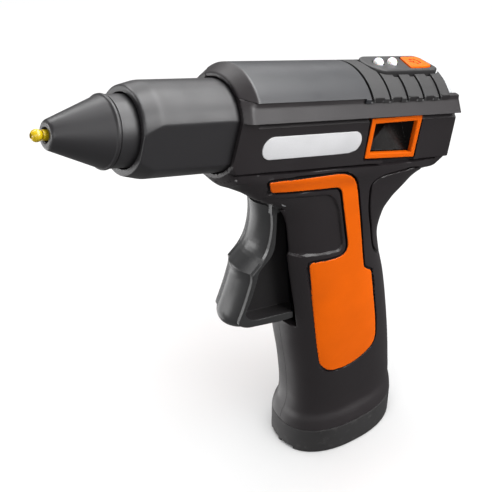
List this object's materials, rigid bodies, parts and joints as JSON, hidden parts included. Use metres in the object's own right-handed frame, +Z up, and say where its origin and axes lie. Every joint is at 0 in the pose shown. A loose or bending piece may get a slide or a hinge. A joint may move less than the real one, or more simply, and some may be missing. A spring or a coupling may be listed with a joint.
{
  "type": "cordless glue gun",
  "caption": "Cordless hot glue gun: pitched round barrel with stepped nozzle, sight windows, rib-grooved top, button plateau, inlaid grip and oval foot.",
  "frame": {"origin": "centre of the foot's lower face, on the floor", "axes": "+X towards the nozzle side, +Y to the gun's left, +Z up"},
  "size_m": [0.1585, 0.0362, 0.1829],
  "materials": {
    "body_plastic": "fine matt grain",
    "cover_plastic": "satin",
    "collar_plastic": "satin",
    "trigger_plastic": "satin",
    "orange_plastic": "smooth",
    "well_plastic": "dark gloss",
    "plate_plastic": "smooth pale grey",
    "tip_metal": "yellow coated",
    "foot_rubber": "matt",
    "lamp_plastic": "silvery dome",
    "cap_plastic": "satin light grey",
    "steel": "plain",
    "chamber_metal": "cast",
    "ceramic": "ceramic",
    "silicone": "soft",
    "stick": "translucent hot-melt glue",
    "carriage_plastic": "plain",
    "board": "printed circuit board",
    "cell": "shrink sleeve",
    "wire": "insulation"
  },
  "bodies": {
    "housing": {"housing_left": "body_plastic", "housing_right": "body_plastic", "top_cover": "cover_plastic", "control_panel": "cover_plastic", "led_front": "lamp_plastic", "led_rear": "lamp_plastic", "power_switch": "well_plastic", "circuit_board": "board", "board_screws": "steel", "front_collar": "collar_plastic", "nozzle_cone": "collar_plastic", "nozzle_tip": "tip_metal", "melt_chamber": "chamber_metal", "heater_element": "ceramic", "heater_clamp": "steel", "feed_sleeve": "silicone", "heater_leads": "wire", "return_spring": "steel", "trigger_pin": "steel", "rear_cap": "cap_plastic", "grip_inlay_left": "orange_plastic", "grip_inlay_right": "orange_plastic", "window_bezel_left": "orange_plastic", "window_bezel_right": "orange_plastic", "window_well_left": "well_plastic", "window_well_right": "well_plastic", "badge_left": "plate_plastic", "badge_right": "plate_plastic", "web_pad": "foot_rubber", "battery_cell": "cell", "battery_tabs": "steel", "battery_leads": "wire", "foot_cap": "foot_rubber", "charge_contacts": "steel", "housing_screws": "steel", "foot_screws": "steel"},
    "trigger": {"trigger": "trigger_plastic"},
    "carriage": {"feed_carriage": "carriage_plastic", "clamp_pin": "steel"},
    "clamp": {"stick_clamp": "steel"},
    "stick": {"glue_stick": "stick"},
    "button": {"power_button": "orange_plastic"}
  },
  "joints": [
    {"name": "trigger_pull", "type": "hinge", "parent": "housing", "child": "trigger", "pos_m": [0.0365, 0, 0.131], "axis": [0, 1, 0], "range_deg": [0, 16], "stiffness_Nm_per_rad": 0.6, "springref_deg": -8.59},
    {"name": "carriage_feed", "type": "slide", "parent": "housing", "child": "carriage", "axis": [0.9652, 0, 0.2613], "range_m": [0, 0.0058], "deforming": ["return_spring"]},
    {"name": "clamp_tilt", "type": "hinge", "parent": "carriage", "child": "clamp", "pos_m": [0.03447, 0, 0.14658], "axis": [0, 1, 0], "range_deg": [0, 5]},
    {"name": "stick_slide", "type": "slide", "parent": "housing", "child": "stick", "axis": [0.9652, 0, 0.2613], "range_m": [-0.1, 0]},
    {"name": "button_press", "type": "slide", "parent": "housing", "child": "button", "axis": [0.2613, 0, -0.9652], "range_m": [0, 0.0005], "stiffness_N_per_m": 900, "springref_m": -0.0003}
  ],
  "couplings": [
    {"joint": "carriage_feed", "follows": "trigger_pull", "m_per_rad": 0.0207},
    {"joint": "clamp_tilt", "follows": "trigger_pull", "ratio": 0.3125}
  ]
}
